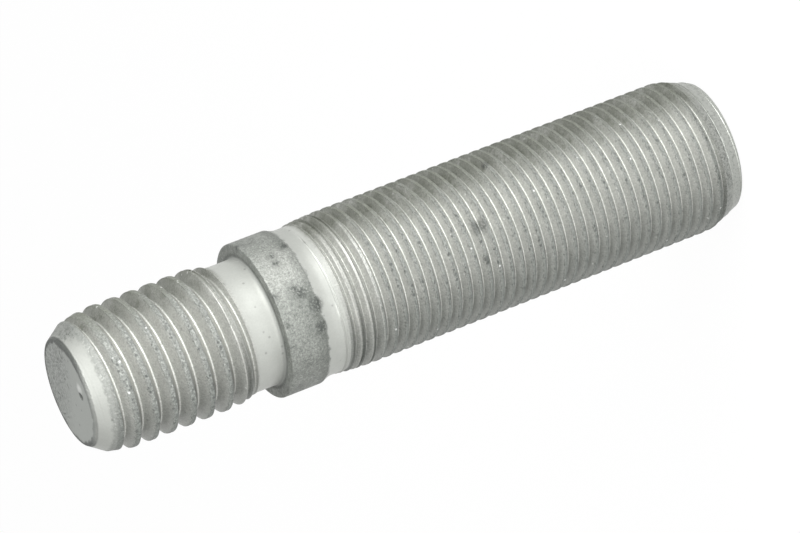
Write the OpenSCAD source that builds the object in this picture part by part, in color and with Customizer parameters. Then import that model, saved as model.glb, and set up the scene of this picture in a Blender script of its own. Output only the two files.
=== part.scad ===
// Double-ended wheel stud. The short coarse thread screws into the hub, the collar's shoulder seats
// on it, and the long fine thread takes the wheel nut. It stands on the nut end, +Z along its axis.

/* [Lengths] */
// Nut end face to the collar's flat shoulder
nut_side_length = 64.8; // [40:0.1:100]
// Collar's flat shoulder to the hub end face
hub_side_length = 25.2; // [18:0.1:40]

/* [Nut thread] */
// Major diameter of the fine thread
nut_major_d = 20; // [19.6:0.1:20.4]
// Pitch of the fine thread
nut_pitch = 1.5; // [1:0.25:2]
// Length over which the fine thread runs out
nut_runout = 5; // [3:0.1:8]
// Diameter of the neck that the fine thread runs out to
nut_neck_d = 19.05; // [18.8:0.05:19.2]
// Plain length of that neck, up to the collar's taper
nut_neck_length = 0.2; // [0.1:0.1:4]
// Diameter of the nut end face, inside the chamfer
nut_end_d = 17; // [15:0.1:18]
// Height of the chamfer at the nut end
nut_chamfer_height = 3.5; // [2:0.1:5]

/* [Collar] */
// Diameter of the collar
collar_d = 20; // [19.6:0.1:26]
// Height of the collar, from its taper to its flat shoulder
collar_height = 5.1; // [3:0.1:10]
// Height of the taper from the collar down to the nut-side neck
collar_taper_height = 1.5; // [0.5:0.1:3]
// Width of the break on the collar's edges
collar_edge = 0.15; // [0.05:0.05:0.4]

/* [Hub thread] */
// Major diameter of the coarse thread
hub_major_d = 18; // [17.6:0.1:18.4]
// Pitch of the coarse thread
hub_pitch = 2.5; // [1.5:0.25:2.5]
// Length over which the coarse thread runs out
hub_runout = 2.2; // [1.5:0.1:4]
// Diameter of the neck that the coarse thread runs out to
hub_neck_d = 16.4; // [15.6:0.1:17]
// Plain length of that neck, down to the shoulder
hub_neck_length = 3; // [1:0.1:5]
// Diameter of the hub end face, inside the chamfer
hub_end_d = 14; // [12:0.1:15]
// Radius of the worn rim round the hub end face
hub_rim_r = 0.4; // [0.2:0.05:0.6]
// Height of the steep chamfer at the hub end
hub_chamfer_height = 2.1; // [1.5:0.1:3]
// Diameter where that chamfer meets the first turn of thread
hub_lead_d = 16.6; // [16:0.1:17]
// Height over which the first crests grow to full diameter
hub_lead_height = 3; // [1:0.1:4]

/* [Hidden] */
$fn = 96;
// Flanks at 30 degrees each side, and 17/24 of the sharp V in depth, as on a metric thread
flank_angle = 30;
depth_per_pitch = 0.6134;
// Share of the pitch that a rolled crest is left flat
crest_share = 0.2;
// Steps round one turn of a groove, and how far its cutter reaches past the crest
turn_steps = 24;
cutter_reach = 0.12;
// Share of the cutter's depth that its root rises over a run-out, which brings it out past the neck
fade = 0.9;
// Angle at which each groove passes the end of its full depth
nut_groove_angle = 305;
hub_groove_angle = 24.5;
// The nut side is cut in this many lengths, which join face to face
nut_slices = 4;
// Straight steps in the rounded rim
rim_steps = 5;

stud_length = nut_side_length + hub_side_length;
nut_r = nut_major_d / 2;
nut_neck_r = nut_neck_d / 2;
hub_r = hub_major_d / 2;
hub_neck_r = hub_neck_d / 2;
collar_r = collar_d / 2;
widest_r = max(nut_r, collar_r, hub_r);
collar_bottom = nut_side_length - collar_height;
taper_bottom = collar_bottom - collar_taper_height;
nut_thread_top = taper_bottom - nut_neck_length;
nut_full_top = nut_thread_top - nut_runout;
hub_thread_bottom = nut_side_length + hub_neck_length;
hub_full_bottom = hub_thread_bottom + hub_runout;
hub_lead_top = stud_length - hub_chamfer_height;

// Half of the turned outline, from the nut end up to the hub end, as [radius, height]
function outline() = concat(
    [[0, 0],
     [nut_end_d / 2, 0],
     [nut_r, nut_chamfer_height],
     [nut_r, nut_full_top],
     [nut_neck_r, nut_thread_top],
     [nut_neck_r, taper_bottom],
     [collar_r - collar_edge, collar_bottom],
     [collar_r, collar_bottom + collar_edge],
     [collar_r, nut_side_length - collar_edge],
     [collar_r - collar_edge, nut_side_length],
     [hub_neck_r, nut_side_length],
     [hub_neck_r, hub_thread_bottom],
     [hub_r, hub_full_bottom],
     [hub_r, hub_lead_top - hub_lead_height],
     [hub_lead_d / 2, hub_lead_top]],
    rim(),
    [[0, stud_length]]);

// The rounded rim, from where it leaves the chamfer over to the flat face
function rim() =
    [for (i = [0 : rim_steps])
        let (a = flank_angle + (90 - flank_angle) * i / rim_steps)
        [hub_end_d / 2 + hub_rim_r * (cos(a) - 1), stud_length + hub_rim_r * (sin(a) - 1)]];

// The turned blank between two heights
module blank(z_low, z_high) {
    rotate_extrude()
        intersection() {
            polygon(outline());
            translate([0, z_low]) square([2 * widest_r, z_high - z_low]);
        }
}

// Corners of a groove's section at height z and angle a: lower lip, root, root, upper lip
function groove_section(z, a, pitch, crest_r, root_r) =
    let (lip = pitch * (1 - crest_share) / 2 + cutter_reach * tan(flank_angle),
         root = pitch * (1 - crest_share) / 2 - (crest_r - root_r) * tan(flank_angle),
         lip_r = crest_r + cutter_reach)
    [for (corner = [[lip_r, -lip], [root_r, -root], [root_r, root], [lip_r, lip]])
        [corner[0] * cos(a), corner[0] * sin(a), z + corner[1]]];

// Right-hand groove between two heights. Past full_end its root rises over the run-out and the groove
// fades away: upwards if the run-out is positive, downwards if it is negative.
module groove(z_low, z_high, pitch, crest_r, full_end, runout, angle) {
    depth = depth_per_pitch * pitch;
    first = floor((z_low - full_end) / pitch * turn_steps);
    steps = ceil((z_high - full_end) / pitch * turn_steps) - first;
    points = [for (i = [first : first + steps])
        let (climb = i * pitch / turn_steps,
             rise = fade * (depth + cutter_reach) * min(1, max(0, climb / runout)))
        each groove_section(full_end + climb, angle + i * 360 / turn_steps,
            pitch, crest_r, crest_r - depth + rise)];
    walls = [for (i = [0 : steps - 1], j = [0 : 3])
        let (here = 4 * i + j, beside = 4 * i + (j + 1) % 4)
        each [[here, beside + 4, beside], [here, here + 4, beside + 4]]];
    last = 4 * steps;
    ends = [[0, 1, 2], [0, 2, 3], [last, last + 2, last + 1], [last, last + 3, last + 2]];
    polyhedron(points, concat(walls, ends));
}

// Nut side: the fine thread, cut in lengths up to the end of its run-out
module nut_thread() {
    slice = nut_thread_top / nut_slices;
    for (k = [0 : nut_slices - 1])
        difference() {
            blank(k * slice, (k + 1) * slice);
            groove(k * slice - nut_pitch, min((k + 1) * slice + nut_pitch, nut_thread_top),
                nut_pitch, nut_r, nut_full_top, nut_runout, nut_groove_angle);
        }
}

// Collar and hub side: the coarse thread, which leaves through the hub end face
module hub_thread() {
    difference() {
        blank(nut_thread_top, stud_length);
        groove(hub_thread_bottom, stud_length + hub_pitch,
            hub_pitch, hub_r, hub_full_bottom, -hub_runout, hub_groove_angle);
    }
}

module stud() {
    color("#a8aaa5") {
        nut_thread();
        hub_thread();
    }
}

stud();
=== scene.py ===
import math

import bpy
import numpy as np
from mathutils import Matrix, Vector, noise


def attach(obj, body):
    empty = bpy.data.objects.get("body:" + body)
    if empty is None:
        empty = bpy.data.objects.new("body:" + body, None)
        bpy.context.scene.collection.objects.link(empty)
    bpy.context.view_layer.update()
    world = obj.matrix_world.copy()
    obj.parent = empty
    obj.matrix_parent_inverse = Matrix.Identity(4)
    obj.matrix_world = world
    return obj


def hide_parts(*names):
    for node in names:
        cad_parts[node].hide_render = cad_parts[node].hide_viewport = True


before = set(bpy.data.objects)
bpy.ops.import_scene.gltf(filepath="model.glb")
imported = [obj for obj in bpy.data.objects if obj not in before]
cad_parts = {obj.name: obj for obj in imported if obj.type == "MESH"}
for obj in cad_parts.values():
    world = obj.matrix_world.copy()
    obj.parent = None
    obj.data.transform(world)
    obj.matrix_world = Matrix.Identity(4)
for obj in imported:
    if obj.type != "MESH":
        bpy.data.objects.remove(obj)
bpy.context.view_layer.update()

# Fine thread
# The wheel nut runs on this long thread, M20 x 1.5 and right-hand. It is rolled into a plain bar: the
# dies press each groove in and squeeze its metal up beside it as two lips, which meet over the bar's
# own surface and close to a crest. Where the dies run out, the lips stay apart as thin ridges.
nut_pitch = 1.5
nut_groove_height = 0.73
nut_root_round = 0.09
nut_crest_round = 0.05
nut_face_r = 8.5
nut_neck_r = 9.52
nut_neck_height = 58.0
# Radius of the lips, of the root and of the bar's surface left between two lips, each against height
nut_crest = ((0, nut_face_r), (0.12, 8.62), (1.1, 9.0), (2.1, 9.27), (3.1, 9.68), (3.7, 9.9), (4.6, 9.97),
             (52.6, 9.97), (54, 9.91), (55.5, 9.83), (57, 9.66), (57.6, nut_neck_r),
             (nut_neck_height, nut_neck_r))
nut_root = ((0, 9.08), (53, 9.08), (55, 9.22), (56.5, 9.36), (57.4, 9.5), (57.6, nut_neck_r),
            (nut_neck_height, nut_neck_r))
nut_bar = ((0, nut_face_r), (3.1, 9.66), (4.6, 9.95), (52, 9.95), (53.4, 9.74), (54.6, 9.54),
           (nut_neck_height, nut_neck_r))

# The stud is modelled in mm and made metres at the end. A sheet is wound up the axis and then pressed
# into the thread. Its strips go over the round root, flank, rounded corner, lip, inner side and bar.
nut_strips = (2, 1, 1, 1, 1, 2)
columns = 96
sheet_r = 10
same_place = 0.001
flank_angle = math.radians(30)
# How far the groove's edges waver, in pitches, and how deep the crests are dented, with their noise scales
waver, waver_round, waver_along = 0.02, 0.6, 1.7
dent, dent_round, dent_along = 0.012, 2.2, 5
# Most that the corner, lip and foot reach over half a pitch, how wide a lip's inner side is for its
# height, and its least height in pitches
corner_most, lip_most, foot_most = 0.94, 0.96, 0.98
inner_width, least_lip = 0.45, 0.05
# How far a rounded corner drops, in roundings, and the depth of thread from which crests are worn
corner_drop = 0.3
worn_depth = 0.3


def at(heights, curve):
    """The value that a curve of (height, value) points has at each height."""
    points = np.array(curve, float)
    return np.interp(heights, points[:, 0], points[:, 1])


def wind(name, pitch, rows, groove_height, low, high):
    """A plain sheet wound up the axis: one pitch high, its strips in step with the groove."""
    start = groove_height + pitch * math.floor((low - pitch - groove_height) / pitch)
    bpy.ops.object.select_all(action="DESELECT")
    bpy.ops.mesh.primitive_plane_add(size=1)
    sheet = bpy.context.object
    sheet.name = name
    bpy.ops.object.mode_set(mode="EDIT")
    bpy.ops.mesh.select_all(action="SELECT")
    bpy.ops.mesh.merge(type="CENTER")
    bpy.ops.transform.translate(value=(sheet_r, 0, start))
    for _ in range(rows):
        bpy.ops.mesh.extrude_region_move(TRANSFORM_OT_translate={"value": (0, 0, pitch / rows)})
    bpy.ops.object.mode_set(mode="OBJECT")
    bpy.ops.object.modifier_add(type="SCREW")
    screw = sheet.modifiers[-1]
    screw.axis = "Z"
    screw.steps = screw.render_steps = columns
    screw.screw_offset = pitch
    screw.iterations = math.ceil((high - start) / pitch)
    bpy.ops.object.modifier_apply(modifier=screw.name)
    merge_doubles(same_place)
    return sheet


def merge_doubles(reach):
    """Joins the active piece's vertices that lie within reach of each other."""
    bpy.ops.object.mode_set(mode="EDIT")
    bpy.ops.mesh.select_all(action="SELECT")
    bpy.ops.mesh.remove_doubles(threshold=reach)
    bpy.ops.object.mode_set(mode="OBJECT")


def roll(sheet, pitch, strips, groove_height, root_round, crest_round, crest, root, bar):
    """Presses the wound sheet into a thread between the heights where its curves begin and end."""
    low, high = crest[0][0], crest[-1][0]
    place = np.empty(len(sheet.data.vertices) * 3)
    sheet.data.vertices.foreach_get("co", place)
    x, y, z = place.reshape(-1, 3).T
    angle = np.arctan2(y, x)
    climb = pitch * angle / math.tau
    turns = (z - climb - groove_height) / pitch
    offset = turns - np.round(turns)
    middle = z - offset * pitch
    strip = np.abs(offset) * 2 * sum(strips)
    stops = np.cumsum((0,) + strips)
    places = zip(x * waver_round, y * waver_round, z * waver_along)
    sway = np.array([noise.noise(Vector(p)) for p in places])
    places = zip(x * dent_round, y * dent_round, z * dent_along)
    dents = np.array([noise.noise(Vector(p)) for p in places])
    half = pitch / 2
    flank = math.tan(flank_angle)
    round_end = root_round * math.cos(flank_angle)
    height = z.copy()
    # The curves are told by height, and pressing moves the height, so it is done a few times over
    for _ in range(4):
        crest_r, root_r, bar_r = at(height, crest), at(height, root), at(height, bar)
        depth = np.maximum(crest_r - root_r, 0)
        on_round = np.sqrt(np.maximum(root_round**2 - np.maximum(root_round - depth, 0) ** 2, 0))
        corner = np.where(depth > root_round / 2, (depth + root_round) * flank, on_round)
        corner = np.minimum(corner + waver * pitch * sway * (depth > root_round), corner_most * half)
        bend = np.minimum(corner, round_end)
        thick = np.maximum(corner - crest_round, bend)
        lip = np.minimum(corner + crest_round, lip_most * half)
        lip_height = np.maximum(crest_r - bar_r, least_lip * pitch)
        foot = np.minimum(lip + inner_width * lip_height, foot_most * half)
        edges = np.stack([0 * corner, bend, thick, corner, lip, foot, 0 * corner + half], 1)
        pressed = np.array([np.interp(s, stops, row) for s, row in zip(strip, edges)])
        cut = np.clip(depth / root_round, 0, 1)
        across = pressed * cut + np.abs(offset) * pitch * (1 - cut)
        height = np.clip(middle + np.sign(offset) * across, low, high)
    crest_r, root_r, bar_r = at(height, crest), at(height, root), at(height, bar)
    arc = root_r + root_round - np.sqrt(np.maximum(root_round**2 - np.minimum(across, round_end) ** 2, 0))
    wall = arc + np.maximum(across - round_end, 0) / flank
    inner_side = np.clip((across - lip) / np.maximum(foot - lip, 1e-6), 0, 1)
    dip = np.maximum(crest_r - bar_r, 0) * (1 - np.cos(math.pi * inner_side)) / 2
    rounding = corner_drop * crest_round * np.exp(-(((across - corner) / crest_round) ** 2))
    depth = np.maximum(crest_r - root_r, 0)
    worn = np.clip(depth / worn_depth, 0, 1)
    top = crest_r - dip - (rounding + dent * dents) * worn
    radius = np.where(height < high, np.minimum(wall, top), crest_r)
    radius = np.where(height > low, radius, crest_r)
    place = np.stack([radius * np.cos(angle), radius * np.sin(angle), height], 1)
    sheet.data.vertices.foreach_set("co", place.ravel())
    # For the coat: how far up the place is from the middle of the root, in pitches, and in mm how far past
    # the flank's corner on to the crest, and how deep the thread is here
    up_from_root = np.sign(offset) * across / pitch
    for mark, values in (("up_from_root", up_from_root), ("past_corner", across - corner),
                         ("thread_depth", depth)):
        sheet.data.attributes.new(mark, "FLOAT", "POINT").data.foreach_set("value", values)
    sheet.data.update()
    merge_doubles(same_place)


stud = wind("stud_steel", nut_pitch, 2 * sum(nut_strips), nut_groove_height, 0, nut_neck_height)
roll(stud, nut_pitch, nut_strips, nut_groove_height, nut_root_round, nut_crest_round,
     nut_crest, nut_root, nut_bar)

# Coarse thread
# This short end, M18 x 2.5 and right-hand, screws into the hub. Its first turn grows out of a steep
# chamfer, and its last one fades into a neck beside the collar.
hub_pitch = 2.5
hub_strips = (3, 2, 1, 1, 2, 3)
hub_groove_height = 2.33
hub_root_round = 0.17
hub_crest_round = 0.09
hub_neck_r = 8.2
hub_neck_height = 67.8
hub_rim_height = 89.8
hub_rim_r = 6.946
hub_crest = ((hub_neck_height, hub_neck_r), (68.5, 8.38), (69.4, 8.66), (70.4, 8.9), (71.5, 8.95),
             (84.9, 8.95), (87.9, 8.3), (hub_rim_height, hub_rim_r))
hub_root = ((hub_neck_height, hub_neck_r), (68.6, 8.08), (69.6, 7.78), (70.6, 7.46), (85.5, 7.46), (87, 7.74),
            (87.8, 8.12), (88.2, 8.05), (hub_rim_height, hub_rim_r))
hub_bar = ((hub_neck_height, hub_neck_r), (69.6, 8.3), (71, 8.82), (72.5, 8.93), (84.9, 8.93), (87.9, 8.28),
           (hub_rim_height, hub_rim_r))

hub_part = wind("hub_end", hub_pitch, 2 * sum(hub_strips), hub_groove_height, hub_neck_height, hub_rim_height)
roll(hub_part, hub_pitch, hub_strips, hub_groove_height, hub_root_round, hub_crest_round,
     hub_crest, hub_root, hub_bar)

# Collar and necks
# Between the threads the bar is turned: a short neck, a taper up to the collar, the collar's plain
# band, and the flat shoulder that is tightened against the hub.
collar_r = 10.0
collar_bottom = 59.7
shoulder_height = 64.8
collar_edge = 0.16
neck_fillet = 0.2
band_rings = 12


def arc(centre_r, centre_height, radius, first, last, steps):
    """Points (radius, height) along an arc, with its angles measured from straight outwards."""
    angles = [math.radians(first + (last - first) * i / steps) for i in range(steps + 1)]
    return [(centre_r + radius * math.cos(a), centre_height + radius * math.sin(a)) for a in angles]


def pick(thing, chosen):
    """Selects the vertices for which chosen says yes, and opens the piece in edit mode."""
    bpy.ops.object.select_all(action="DESELECT")
    bpy.context.view_layer.objects.active = thing
    thing.select_set(True)
    bpy.ops.object.mode_set(mode="EDIT")
    bpy.ops.mesh.select_mode(type="VERT")
    bpy.ops.mesh.select_all(action="DESELECT")
    bpy.ops.object.mode_set(mode="OBJECT")
    for vertex in thing.data.vertices:
        vertex.select = chosen(vertex.co)
    bpy.ops.object.mode_set(mode="EDIT")


def draw_out(start, points):
    """Extrudes the picked ring, which has the radius and height of start, through the points."""
    r_before, height_before = start
    for r, height in points:
        bpy.ops.mesh.extrude_region_move(TRANSFORM_OT_translate={"value": (0, 0, height - height_before)})
        bpy.ops.transform.resize(value=(r / r_before, r / r_before, 1), center_override=(0, 0, height))
        r_before, height_before = r, height


band_bottom, band_top = collar_bottom + collar_edge, shoulder_height - collar_edge
outline = [(nut_neck_r, 58.2), (9.55, 58.5), (9.61, 58.8), (9.7, 59.1), (9.8, 59.4)]
outline += arc(collar_r - collar_edge, band_bottom, collar_edge, -70, 0, 4)
outline += [(collar_r, band_bottom + (band_top - band_bottom) * i / band_rings) for i in range(1, band_rings)]
outline += arc(collar_r - collar_edge, band_top, collar_edge, 0, 90, 5)
outline += [(9.2, shoulder_height)]
outline += arc(hub_neck_r + neck_fillet, shoulder_height + neck_fillet, neck_fillet, 270, 180, 4)
outline += [(hub_neck_r, height) for height in (65.8, 66.4, 67.1, hub_neck_height)]

pick(stud, lambda co: abs(co.z - nut_neck_height) < same_place)
draw_out((nut_neck_r, nut_neck_height), outline)
bpy.ops.object.mode_set(mode="OBJECT")
hub_part.select_set(True)
bpy.ops.object.join()
merge_doubles(same_place)

# End faces
# The bar is cut off flat at both ends. The coat covers them too, and on the hub end it has run into a
# small pip beside a pit. That end's rim is round, worn by tumbling in the bath.
rim_round = 0.4
# The rim starts where the chamfer's slope ends, in degrees up from straight outwards
rim_start, rim_steps = 30, 5
nut_face_rings, hub_face_rings = 8, 26
# A pip of coating and a pit at its foot, as (x, y, radius, height), all on the hub end face
pip = (-0.07, -4.66, 1.0, 0.22)
pit = (-0.88, -4.21, 0.6, -0.45)

pick(stud, lambda co: abs(co.z) < same_place)
draw_out((nut_face_r, 0), [(nut_face_r * (1 - i / nut_face_rings), 0) for i in range(1, nut_face_rings)])
bpy.ops.mesh.extrude_region_move()
bpy.ops.mesh.merge(type="CENTER")
bpy.ops.object.mode_set(mode="OBJECT")

face_height = hub_rim_height + rim_round / 2
face_r = hub_rim_r - rim_round * math.cos(math.radians(rim_start))
rim = arc(face_r, face_height - rim_round, rim_round, rim_start, 90, rim_steps)[1:]
pick(stud, lambda co: abs(co.z - hub_rim_height) < same_place)
face = [(face_r * (1 - i / hub_face_rings), face_height) for i in range(1, hub_face_rings)]
draw_out((hub_rim_r, hub_rim_height), rim + face)
bpy.ops.mesh.extrude_region_move()
bpy.ops.mesh.merge(type="CENTER")
bpy.ops.mesh.select_all(action="SELECT")
bpy.ops.mesh.normals_make_consistent(inside=False)
bpy.ops.object.mode_set(mode="OBJECT")

for vertex in stud.data.vertices:
    x, y, z = vertex.co
    if z > face_height - same_place:
        for centre_x, centre_y, spot_r, spot_height in (pip, pit):
            reach = min(math.hypot(x - centre_x, y - centre_y) / spot_r, 1)
            vertex.co.z += spot_height * (0.5 + 0.5 * math.cos(math.pi * reach))

# From mm to metres
stud.data.transform(Matrix.Scale(0.001, 4))
bpy.ops.object.shade_smooth_by_angle(angle=math.radians(40))

# Zinc flake
# The steel is dipped and baked in a zinc and aluminium flake coating: a satin grey, faintly green,
# with flakes laid flat in a clear binder. It stays even and bright on turned surfaces and down the
# flanks, and goes dark and speckled where the rolling dies tore the crests and on the stained collar.
neck_grey = "#a3a5a0"
pale_grey = "#b3b5b0"
face_grey = "#8e918d"
flank_grey = "#a3a49f"
root_highlight_pale = "#cacbc6"
speck_and_shade_grey = "#6b706b"
crest_dark_and_shade = "#444744"
crest_grey_and_shade = "#686b67"
crest_pale = "#8f928d"
speck_and_highlight_white = "#d8d9d6"
collar_dark = "#4d504c"
collar_grey_and_shade = "#7a7d78"
collar_pale_and_highlight = "#999b96"
stain_dark_and_shade = "#404340"
oil_and_shade_brown = "#62655b"


def linear(shade):
    """A linear colour from an sRGB hex value."""
    parts = [int(shade[i:i + 2], 16) / 255 for i in (1, 3, 5)]
    return [c / 12.92 if c <= 0.04045 else ((c + 0.055) / 1.055) ** 2.4 for c in parts] + [1]


def add(tree, kind, inputs=(), **settings):
    """Adds a node to a tree. An input is given a value, or linked where it is another node's output."""
    made = tree.nodes.new(kind)
    for key, value in settings.items():
        setattr(made, key, value)
    for key, value in dict(inputs).items():
        if isinstance(value, bpy.types.NodeSocket):
            tree.links.new(value, made.inputs[key])
        else:
            made.inputs[key].default_value = value
    return made


def new_material(name):
    """An empty node material."""
    material = bpy.data.materials.new(name)
    material.use_nodes = True
    material.node_tree.nodes.clear()
    return material


zinc = new_material("zinc_flake_coating")
tree = zinc.node_tree
place = add(tree, "ShaderNodeTexCoord").outputs["Object"]
in_mm = add(tree, "ShaderNodeMapping", {"Vector": place, "Scale": (1000, 1000, 1000)}).outputs[0]
flat = add(tree, "ShaderNodeMapping", {"Vector": place, "Scale": (1000, 1000, 0)}).outputs[0]

# What the marks below are told from: first the place on the stud in mm, and what roll left on the threads
collar_middle = 62
told = {}
told["radius"] = add(tree, "ShaderNodeVectorMath", {0: flat}, operation="LENGTH").outputs["Value"]
told["height"] = add(tree, "ShaderNodeSeparateXYZ", {0: in_mm}).outputs["Z"]
for name in ("up_from_root", "past_corner", "thread_depth"):
    told[name] = add(tree, "ShaderNodeAttribute", attribute_name=name).outputs["Fac"]
above_collar = add(tree, "ShaderNodeMath", {0: told["height"], 1: collar_middle}, operation="SUBTRACT")
told["from_collar"] = add(tree, "ShaderNodeMath", {0: above_collar.outputs[0]},
                          operation="ABSOLUTE").outputs[0]
# Sides of the stud, each about 1 where the surface faces that way. The last is the mm across the end face.
for name, direction in (("oil_and_shade_side", (0.0996, -0.0087, 0)), ("under_side", (-0.094, -0.034, 0)),
                        ("key_side", (0.045, -0.089, 0)), ("low_side", (-0.05, -0.087, 0)),
                        ("face_side", (0.74, 0.67, 0))):
    told[name] = add(tree, "ShaderNodeVectorMath", {0: in_mm, 1: direction},
                     operation="DOT_PRODUCT").outputs["Value"]
for name, spot in (("from_pip", pip), ("from_pit", pit)):
    centre = (spot[0], spot[1], face_height)
    told[name] = add(tree, "ShaderNodeVectorMath", {0: in_mm, 1: centre},
                     operation="DISTANCE").outputs["Value"]

# Noises by the size of their grain in mm, stretched to run from about 0 to 1. Real flakes are finer than
# a tenth, which would not show, so the finest noise is coarser.
for name, grain, detail in (("flake", 0.22, 2), ("speckle", 0.32, 4), ("blotch", 1.2, 4), ("cloud", 4, 3)):
    texture = add(tree, "ShaderNodeTexNoise", {"Vector": in_mm, "Scale": 1 / grain, "Detail": detail,
                                               "Roughness": 0.65})
    told[name] = add(tree, "ShaderNodeMapRange", {"Value": texture.outputs[0], "From Min": 0.3,
                                                  "From Max": 0.7}).outputs[0]
# Places made uneven by a noise, each with the mm that the noise moves it
for name, noise_name, sway, value in (("ragged_corner", "speckle", 0.24, "past_corner"),
                                      ("wavy_height", "blotch", 0.6, "height"),
                                      ("lead_height", "blotch", 0.4, "height"),
                                      ("wavy_radius", "blotch", 0.5, "radius")):
    told[name] = add(tree, "ShaderNodeMath", {0: told[noise_name], 1: sway, 2: told[value]},
                     operation="MULTIPLY_ADD").outputs[0]
# Single spots by the mm between them, and a number for each that picks which of them there are
for name, spacing in (("pit", 0.65), ("speck", 0.8)):
    cells = add(tree, "ShaderNodeTexVoronoi", {"Vector": in_mm, "Scale": 1 / spacing})
    told[name] = cells.outputs["Distance"]
    told[name + "_lot"] = add(tree, "ShaderNodeSeparateXYZ", {0: cells.outputs["Color"]}).outputs[0]

# Stains, each as (turn, height, radius): turn runs from +X towards -Y, which faces the camera
stains = ((83.1, 61.3, 0.9), (79, 61.9, 0.6), (94.3, 60.0, 1.1), (111, 60.2, 0.9), (43.6, 60.1, 0.5),
          (49.2, 62.3, 0.4), (55.8, 62.4, 0.4), (79.3, 64.6, 0.35), (22, 64.8, 0.4), (44.9, 57.4, 0.4),
          (84.7, 36.6, 1.2), (109.3, 37, 0.7), (37.9, 31.6, 0.7))
stained_r = 9.9
# Starts farther off than any stain reaches
nearest = 9.0
for turn, stain_height, stain_r in stains:
    stain_turn = math.radians(turn)
    centre = (stained_r * math.cos(stain_turn), -stained_r * math.sin(stain_turn), stain_height)
    reach = add(tree, "ShaderNodeVectorMath", {0: in_mm, 1: centre}, operation="DISTANCE").outputs["Value"]
    reach = add(tree, "ShaderNodeMath", {0: reach, 1: 1 / stain_r}, operation="MULTIPLY").outputs[0]
    nearest = add(tree, "ShaderNodeMath", {0: nearest, 1: reach}, operation="MINIMUM").outputs[0]
told["from_stain"] = nearest

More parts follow.
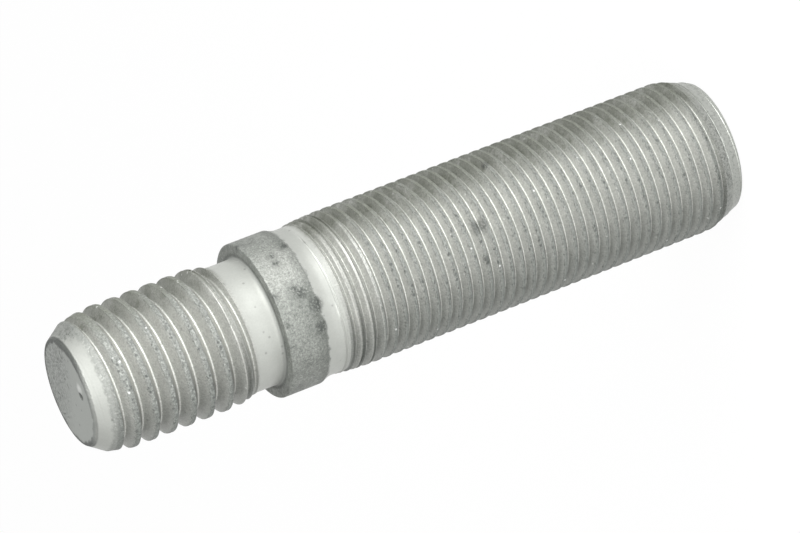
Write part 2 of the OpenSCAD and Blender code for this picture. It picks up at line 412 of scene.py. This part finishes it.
# Marks on the coat, each the product of ramps: what it is told from, where it is nought and where it is full
collar_ramps = (("wavy_height", 59.65, 60.25), ("height", 65.3, 64.9), ("radius", 8.3, 8.6))
crest_ramps = (("thread_depth", 0.45, 0.8), ("ragged_corner", 0.02, 0.14), ("from_collar", 9, 11))
on_lead = (("height", 87.2, 88), ("height", 89.85, 89.7))
on_rim = ("height", 89.5, 89.72)
on_thread, on_face = ("thread_depth", 0.15, 0.5), ("height", 89.85, 89.95)
mark_ramps = {
    "thread": (on_thread,),
    # Painted highlight: a pale line along the middle of each groove's root
    "root": (on_thread, ("up_from_root", -0.06, -0.035), ("up_from_root", 0.06, 0.035),
             ("from_collar", 9, 11), ("height", 2.2, 3.2)),
    # Painted shade in the grooves, on the flanks facing turn 160
    "shaded flank": (on_thread, ("up_from_root", 0.05, 0.12), ("under_side", 0.2, 0.95)),
    "flank specks": (on_thread, ("speckle", 0.4, 0.1)),
    "pale flank specks": (on_thread, ("speckle", 0.6, 0.95)),
    "crest": crest_ramps,
    "pale crest specks": crest_ramps + (("speckle", 0.55, 0.85), ("height", 70, 72)),
    "crest specks": crest_ramps + (("speckle", 0.45, 0.15),),
    "crest pits": crest_ramps + (("low_side", 0.2, 0.8), ("pit", 0.38, 0.22), ("pit_lot", 0.35, 0.4)),
    "lead": (("lead_height", 88.6, 88.15), ("height", 86.8, 87.4), ("ragged_corner", -0.05, 0.05),
             ("speckle", -0.2, 0.5)),
    # Partly dirt and stains, partly painted shade: the chamfer's lead darker on the side facing +X
    "lead dirt and shade": on_lead + (("oil_and_shade_side", 0.5, 0.74), ("blotch", -0.3, 0.6)),
    "lead stains and shade": on_lead + (("oil_and_shade_side", 0.5, 0.7), ("speckle", 0.45, 0.75), ("blotch", 0.2, 0.7)),
    # Partly an oily stain, partly painted shade: the threads darker and browner on the side facing +X
    "oil": (on_thread, ("oil_and_shade_side", 0.48, 0.95), ("cloud", -0.3, 0.6)),
    "smudges and shade": (on_thread, ("oil_and_shade_side", 0.4, 0.8), ("blotch", 0.45, 0.9), ("cloud", 0.35, 0.7)),
    # Painted shade: the threads darker on the side facing turn 160
    "under": (on_thread, ("under_side", 0.6, 1.0)),
    "collar": collar_ramps,
    "collar clouds": collar_ramps + (("cloud", 0.6, 0.1),),
    "taper edge": collar_ramps + (("height", 61.3, 60.1), ("cloud", 0, 0.5), ("speckle", 0.1, 0.5)),
    "collar stain": collar_ramps + (("from_stain", 2.8, 1.2), ("speckle", 0.1, 0.7)),
    "collar blotches": collar_ramps + (("blotch", 0.5, 0.1),),
    # Painted highlight: the collar paler on the side facing the key lamp
    "collar painted highlight": collar_ramps + (("key_side", 0.9, 0.99),),
    "collar pale": collar_ramps + (("speckle", 0.5, 0.9),),
    "collar specks": collar_ramps + (("speckle", 0.4, 0.05),),
    # Painted shade in the corner between the hub neck and the shoulder, dulling its highlight too
    "fillet": (("height", 64.7, 64.78), ("height", 65.35, 64.85), ("radius", 8.95, 8.6)),
    "face": (on_face,),
    "face mottle": (on_face, ("face_side", -2, 3), ("speckle", 0.42, 0.62)),
    "face pits": (on_face, ("face_side", -2.5, 2), ("pit", 0.36, 0.2), ("pit_lot", 0.45, 0.5)),
    # Painted shade: a dark line round the hub end's rim, widest on the side turned away from turn 120
    "rim": (on_rim, ("wavy_radius", 6.55, 6.8), ("cloud", -0.5, 0.5)),
    "rim painted shade": (on_rim, ("wavy_radius", 6.4, 6.8), ("low_side", 0.64, 0.4)),
    "nut lead": (("height", 3.7, 3.1),),
    "nut lead specks": (("height", 3.7, 3.1), ("speckle", 0.5, 0.2)),
    "nut lead pits": (("lead_height", 3.7, 2.9), ("lead_height", 1.7, 2.3), ("low_side", 0.1, 0.7),
                      ("speckle", 0.45, 0.65)),
    # Painted shade: the nut-side neck darker on the side facing +X
    "neck painted shade": (("height", 57.2, 58), ("height", 59.9, 59.6), ("oil_and_shade_side", 0.4, 0.9)),
    "pits": (("speck", 0.3, 0.12), ("speck_lot", 0.85, 0.88)),
    "white specks": (("pit", 0.3, 0.15), ("pit_lot", 0.045, 0.03), ("thread_depth", 0.5, 0.8),
                     ("ragged_corner", -0.25, 0)),
    "stains": (("from_stain", 1.3, 0.3), ("speckle", 0.1, 0.6)),
    # Painted highlight: the pip paler than the end face around it
    "pip": (("from_pip", 1.0, 0.4),),
    "pit": (("from_pit", 0.7, 0.4),),
}
marks = {}
for name, ramps in mark_ramps.items():
    marks[name] = 1.0
    for value, none, full in ramps:
        reach = {"From Min": min(none, full), "From Max": max(none, full),
                 "To Min": float(none > full), "To Max": float(full > none)}
        ramp = add(tree, "ShaderNodeMapRange", {"Value": told[value], **reach},
                   interpolation_type="SMOOTHSTEP").outputs[0]
        marks[name] = add(tree, "ShaderNodeMath", {0: marks[name], 1: ramp}, operation="MULTIPLY").outputs[0]

# The coat's colour, laid on mark by mark over the plain turned surface, each as (mark, strength, colour)
cloud_share = 0.35
layers = (("thread", 1.0, flank_grey), ("flank specks", 0.15, speck_and_shade_grey),
          ("pale flank specks", 0.2, pale_grey), ("root", 0.45, root_highlight_pale), ("shaded flank", 0.6, crest_dark_and_shade),
          ("face", 0.9, face_grey), ("crest", 0.85, crest_grey_and_shade), ("pale crest specks", 0.85, crest_pale),
          ("crest specks", 0.75, crest_dark_and_shade), ("crest pits", 0.8, crest_dark_and_shade), ("lead", 0.65, crest_grey_and_shade),
          ("lead dirt and shade", 0.6, crest_grey_and_shade), ("lead stains and shade", 0.7, crest_dark_and_shade), ("collar", 1.0, collar_grey_and_shade),
          ("collar clouds", 0.4, collar_dark), ("collar blotches", 0.4, collar_dark),
          ("collar painted highlight", 0.5, collar_pale_and_highlight), ("collar pale", 0.4, collar_pale_and_highlight),
          ("collar specks", 0.4, collar_dark), ("taper edge", 0.5, collar_dark),
          ("collar stain", 0.45, collar_dark), ("nut lead", 0.35, collar_grey_and_shade),
          ("nut lead specks", 0.35, crest_dark_and_shade), ("nut lead pits", 0.6, crest_dark_and_shade),
          ("neck painted shade", 0.25, collar_grey_and_shade), ("fillet", 0.6, crest_dark_and_shade), ("rim", 0.5, stain_dark_and_shade),
          ("rim painted shade", 0.75, stain_dark_and_shade), ("oil", 0.8, oil_and_shade_brown), ("smudges and shade", 0.6, oil_and_shade_brown),
          ("under", 0.35, speck_and_shade_grey), ("face mottle", 0.35, crest_dark_and_shade), ("face pits", 0.55, crest_dark_and_shade),
          ("pits", 0.35, crest_dark_and_shade), ("white specks", 0.6, speck_and_highlight_white), ("stains", 0.85, stain_dark_and_shade),
          ("pip", 0.3, speck_and_highlight_white), ("pit", 0.8, stain_dark_and_shade))
cloudy = add(tree, "ShaderNodeMath", {0: told["cloud"], 1: cloud_share}, operation="MULTIPLY").outputs[0]
coat = add(tree, "ShaderNodeMix", {0: cloudy, 6: linear(neck_grey), 7: linear(pale_grey)},
           data_type="RGBA").outputs[2]
for name, strength, shade in layers:
    layer = add(tree, "ShaderNodeMath", {0: marks[name], 1: strength}, operation="MULTIPLY").outputs[0]
    coat = add(tree, "ShaderNodeMix", {0: layer, 6: coat, 7: linear(shade)}, data_type="RGBA").outputs[2]
# The flakes make the colour swing by these shares, more on rolled surfaces than on turned ones, and most
# on the stained collar.
turned_swing, thread_swing, collar_swing = 0.08, 0.4, 0.55
swing = add(tree, "ShaderNodeMath", {0: marks["thread"], 1: thread_swing, 2: turned_swing},
            operation="MULTIPLY_ADD").outputs[0]
swing = add(tree, "ShaderNodeMath", {0: marks["collar"], 1: collar_swing, 2: swing},
            operation="MULTIPLY_ADD").outputs[0]
middled = add(tree, "ShaderNodeMath", {0: told["flake"], 1: 0.5}, operation="SUBTRACT").outputs[0]
grain = add(tree, "ShaderNodeMath", {0: middled, 1: swing, 2: 1.0}, operation="MULTIPLY_ADD").outputs[0]
grained = add(tree, "ShaderNodeVectorMath", {0: coat, "Scale": grain}, operation="SCALE").outputs[0]

# Flakes of metal in a clear binder shine like a satin metal, but less so, and least where they are torn,
# stained or bare. Each mark adds to the roughness and takes from the metal.
rough, metal = 0.42, 0.6
for mark, rougher, duller in ((told["blotch"], 0.06, 0), (marks["crest"], 0.15, -0.35),
                              (marks["lead"], 0.15, -0.3), (marks["collar"], 0.1, -0.15),
                              (marks["fillet"], 0.2, -0.4), (marks["face"], 0.12, -0.35)):
    rough = add(tree, "ShaderNodeMath", {0: mark, 1: rougher, 2: rough}, operation="MULTIPLY_ADD").outputs[0]
    metal = add(tree, "ShaderNodeMath", {0: mark, 1: duller, 2: metal}, operation="MULTIPLY_ADD").outputs[0]

# Relief in mm, each as (mark, noise, mm), so the bump's distance is 1 mm
relief = 0.0
for mark, noise_name, deep in ((marks["crest"], "speckle", 0.04), (marks["collar"], "speckle", 0.015),
                               (marks["collar"], "blotch", 0.03), (marks["lead"], "speckle", 0.05),
                               (marks["rim"], "speckle", 0.04), (marks["face mottle"], "speckle", -0.07),
                               (marks["face pits"], "cloud", -0.06), (marks["thread"], "flake", 0.004)):
    shape = add(tree, "ShaderNodeMath", {0: mark, 1: told[noise_name]}, operation="MULTIPLY").outputs[0]
    relief = add(tree, "ShaderNodeMath", {0: shape, 1: deep, 2: relief}, operation="MULTIPLY_ADD").outputs[0]
bump = add(tree, "ShaderNodeBump", {"Strength": 1.0, "Distance": 0.001, "Height": relief}).outputs[0]
surface = add(tree, "ShaderNodeBsdfPrincipled", {"Base Color": grained, "Roughness": rough, "Metallic": metal,
                                                 "Normal": bump}).outputs[0]
add(tree, "ShaderNodeOutputMaterial", {"Surface": surface})
stud.data.materials.clear()
stud.data.materials.append(zinc)

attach(stud, "root")
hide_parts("stud")

# Floor
# A white sweep, a hair below the nut end so that the two faces don't share a plane. It shows white to
# the camera and in the metal, and keeps part of its own shading, so that the stud's soft shadow stays.
floor_size, floor_drop = 6, 0.0002
seen_white, floor_grey = 0.95, 0.9
floor_paint = new_material("white_floor")
tree = floor_paint.node_tree
path = add(tree, "ShaderNodeLightPath")
seen = add(tree, "ShaderNodeMath", {0: path.outputs["Is Camera Ray"], 1: path.outputs["Is Glossy Ray"]},
           operation="MAXIMUM")
seen = add(tree, "ShaderNodeMath", {0: seen.outputs[0], 1: path.outputs["Is Transmission Ray"]},
           operation="MAXIMUM")
share = add(tree, "ShaderNodeMath", {0: seen.outputs[0], 1: seen_white}, operation="MULTIPLY")
matt = add(tree, "ShaderNodeBsdfDiffuse", {"Color": (floor_grey, floor_grey, floor_grey, 1)})
white = add(tree, "ShaderNodeEmission", {"Strength": 1.0})
mixed = add(tree, "ShaderNodeMixShader", {0: share.outputs[0], 1: matt.outputs[0], 2: white.outputs[0]})
add(tree, "ShaderNodeOutputMaterial", {"Surface": mixed.outputs[0]})

bpy.ops.object.select_all(action="DESELECT")
bpy.ops.mesh.primitive_plane_add(size=floor_size, location=(0, 0, -floor_drop))
floor = bpy.context.object
floor.name = "floor"
floor.data.materials.append(floor_paint)

# Studio
# A white room, seen at full strength by the camera and in the metal, and lighting the stud a little less.
# Two wide softboxes stand low on the camera's side, and a weak one is above it.
room_light = 0.8
stud_middle = 0.045
world = bpy.data.worlds.new("white_room")
bpy.context.scene.world = world
world.use_nodes = True
tree = world.node_tree
tree.nodes.clear()
path = add(tree, "ShaderNodeLightPath")
seen = add(tree, "ShaderNodeMath", {0: path.outputs["Is Camera Ray"], 1: path.outputs["Is Glossy Ray"]},
           operation="MAXIMUM")
seen = add(tree, "ShaderNodeMath", {0: seen.outputs[0], 1: path.outputs["Is Transmission Ray"]},
           operation="MAXIMUM")
strength = add(tree, "ShaderNodeMapRange", {"Value": seen.outputs[0], "To Min": room_light, "To Max": 1.0})
air = add(tree, "ShaderNodeBackground", {"Strength": strength.outputs[0]})
add(tree, "ShaderNodeOutputWorld", {"Surface": air.outputs[0]})


def lamp(name, turn, lift, distance, width, height, power):
    """A softbox aimed at the stud's middle: turn from +X towards -Y, and lift above the floor, in degrees."""
    aim = Vector((0, 0, stud_middle))
    a, e = math.radians(turn), math.radians(lift)
    outwards = Vector((math.cos(a) * math.cos(e), -math.sin(a) * math.cos(e), math.sin(e)))
    light = bpy.data.lights.new(name, "AREA")
    light.shape = "RECTANGLE"
    light.size, light.size_y = width, height
    light.energy = power
    holder = bpy.data.objects.new(name, light)
    bpy.context.scene.collection.objects.link(holder)
    holder.location = aim + outwards * distance
    holder.rotation_euler = outwards.to_track_quat("Z", "Y").to_euler()


lamp("key", 54, 16, 0.6, 0.44, 0.36, 5.1)
lamp("fill", 112, 18, 0.6, 0.7, 0.36, 2.75)
lamp("upper", 90, 46, 0.6, 0.5, 0.3, 0.5)

# Camera
# A long lens, a little above the stud on the hub end's side, and rolled so that the stud lies across the
# picture. Lens, tilt, roll and distance are those that put the thread crests where the photo has them.
photo_width = 800
focal_pixels = 5023
view_tilt = 20.46
view_roll = -111.13
distance = 0.6215
aim_height = 0.04175
shift_right, shift_up = 0.002326, 0.001077

camera = bpy.data.objects.new("camera", bpy.data.cameras.new("camera"))
bpy.context.scene.collection.objects.link(camera)
bpy.context.scene.camera = camera
camera.data.sensor_width = 36
camera.data.lens = camera.data.sensor_width * focal_pixels / photo_width
camera.data.clip_end = 20
turned = (Matrix.Rotation(math.radians(90 - view_tilt), 3, "X")
          @ Matrix.Rotation(math.radians(view_roll), 3, "Z"))
camera.rotation_euler = turned.to_euler()
right, up, back = turned.col
camera.location = Vector((0, 0, aim_height)) + distance * back - shift_right * right - shift_up * up

bpy.context.scene.view_settings.view_transform = "Standard"
